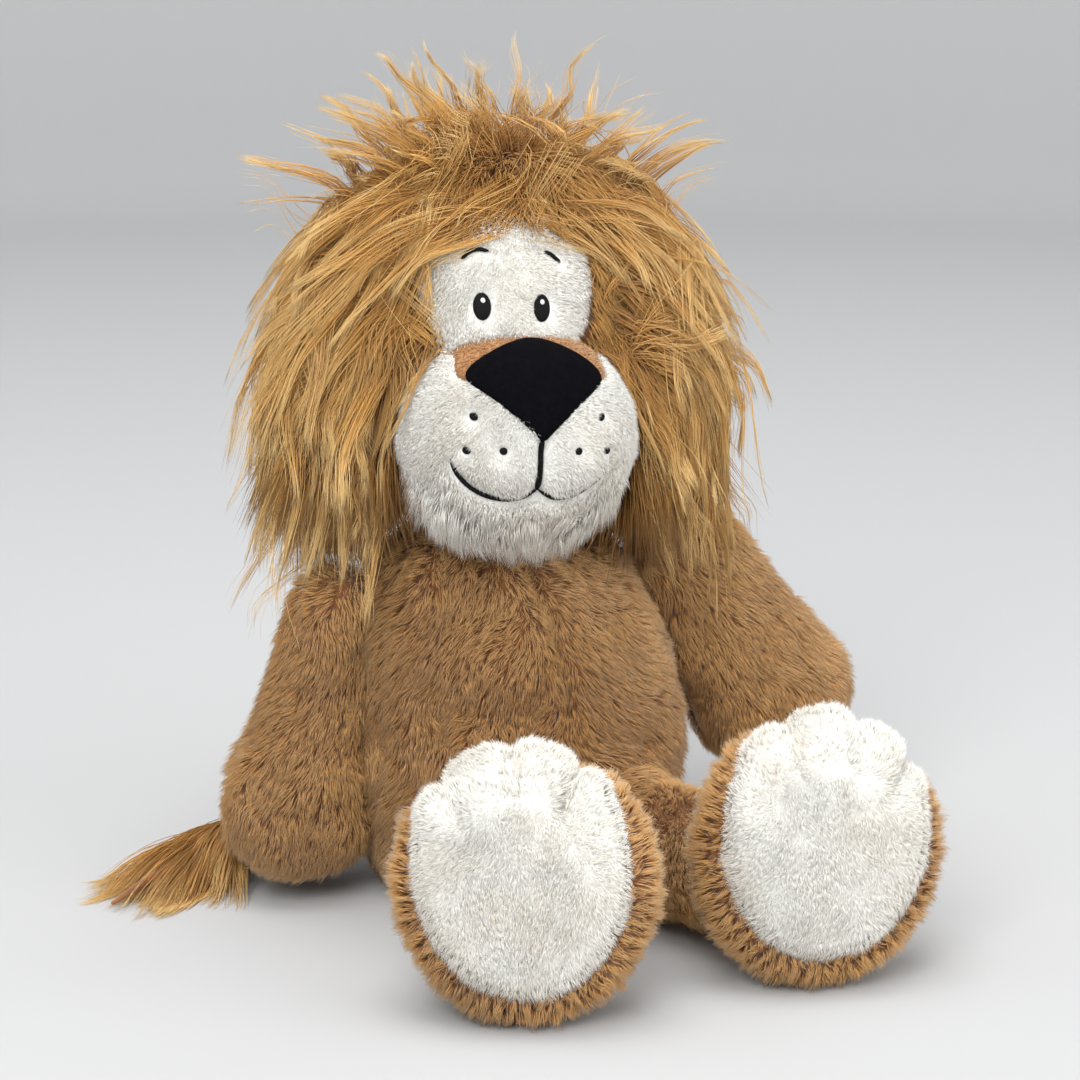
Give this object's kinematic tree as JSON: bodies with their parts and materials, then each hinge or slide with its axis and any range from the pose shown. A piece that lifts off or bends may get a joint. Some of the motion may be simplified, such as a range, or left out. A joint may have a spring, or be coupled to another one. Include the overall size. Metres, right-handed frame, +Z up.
{
  "type": "plush lion",
  "caption": "Seated plush lion with a stuffed body, a long shaggy mane, big soft feet with pale soles, a tufted tail and limbs that turn at their seams.",
  "frame": {"origin": "middle of the flat seat that the toy sits on", "axes": "+Z up, -Y the way the toy faces, +X the toy's left side"},
  "size_m": [0.3342, 0.2559, 0.342],
  "materials": {
    "brown_plush": "short cut-pile plush, soft and matt, lighter at the tips",
    "white_plush": "short white plush, matt",
    "tan_plush": "short light tan plush, matt",
    "mane_hair": "long silky pile in locks, golden at the tips and darker at the roots",
    "nose_velour": "smooth black velour with a soft sheen",
    "thread": "black embroidery thread",
    "stuffing": "white polyester fibre filling, hidden inside",
    "beans": "small plastic beans in a cloth bag, hidden inside"
  },
  "bodies": {
    "torso": {"torso_cover": "brown_plush", "torso_filling": "stuffing", "bean_bag": "beans"},
    "neck": {"neck_cover": "brown_plush", "neck_filling": "stuffing"},
    "head": {"head_cover": "brown_plush", "muzzle_cover": "white_plush", "head_filling": "stuffing", "face_panel": "white_plush", "nose_pad": "nose_velour", "nose_bridge": "tan_plush", "right_eye": "thread", "left_eye": "thread", "right_brow": "thread", "left_brow": "thread", "mouth_stitching": "thread", "right_whisker_dot_1": "thread", "right_whisker_dot_2": "thread", "right_whisker_dot_3": "thread", "left_whisker_dot_1": "thread", "left_whisker_dot_2": "thread", "left_whisker_dot_3": "thread", "chin_fur": "white_plush", "mane": "mane_hair"},
    "right_arm": {"right_arm_cover": "brown_plush", "right_arm_filling": "stuffing"},
    "left_arm": {"left_arm_cover": "brown_plush", "left_arm_filling": "stuffing"},
    "right_leg": {"right_leg_cover": "brown_plush", "right_leg_filling": "stuffing", "right_foot_cover": "brown_plush", "right_foot_filling": "stuffing", "right_sole_pad": "white_plush"},
    "left_leg": {"left_leg_cover": "brown_plush", "left_leg_filling": "stuffing", "left_foot_cover": "brown_plush", "left_foot_filling": "stuffing", "left_sole_pad": "white_plush"},
    "tail": {"tail_cover": "brown_plush", "tail_filling": "stuffing", "tail_tuft": "mane_hair"}
  },
  "joints": [
    {"name": "head_turn", "type": "hinge", "parent": "torso", "child": "neck", "pos_m": [-0.011, 0.006, 0.157], "axis": [0, 0, 1], "range_deg": [-20, 25]},
    {"name": "head_nod", "type": "hinge", "parent": "neck", "child": "head", "pos_m": [-0.011, 0.006, 0.157], "axis": [0.9945, -0.1045, 0], "range_deg": [-12, 10]},
    {"name": "right_arm_swing", "type": "hinge", "parent": "torso", "child": "right_arm", "pos_m": [-0.062, 0.003, 0.14], "axis": [1, 0, 0], "range_deg": [-75, 8]},
    {"name": "left_arm_swing", "type": "hinge", "parent": "torso", "child": "left_arm", "pos_m": [0.0485, 0.003, 0.14], "axis": [0.9205, 0, 0.3907], "range_deg": [-75, 8]},
    {"name": "right_leg_swing", "type": "hinge", "parent": "torso", "child": "right_leg", "pos_m": [-0.033, -0.048, 0.0295], "axis": [-0.9903, 0.1392, 0], "range_deg": [-55, 20]},
    {"name": "left_leg_swing", "type": "hinge", "parent": "torso", "child": "left_leg", "pos_m": [0.034, -0.048, 0.0295], "axis": [-0.9272, -0.3746, 0], "range_deg": [-55, 20]},
    {"name": "tail_swing", "type": "hinge", "parent": "torso", "child": "tail", "pos_m": [0, 0.052, 0.011], "axis": [0, 0, 1], "range_deg": [-90, 0]}
  ]
}
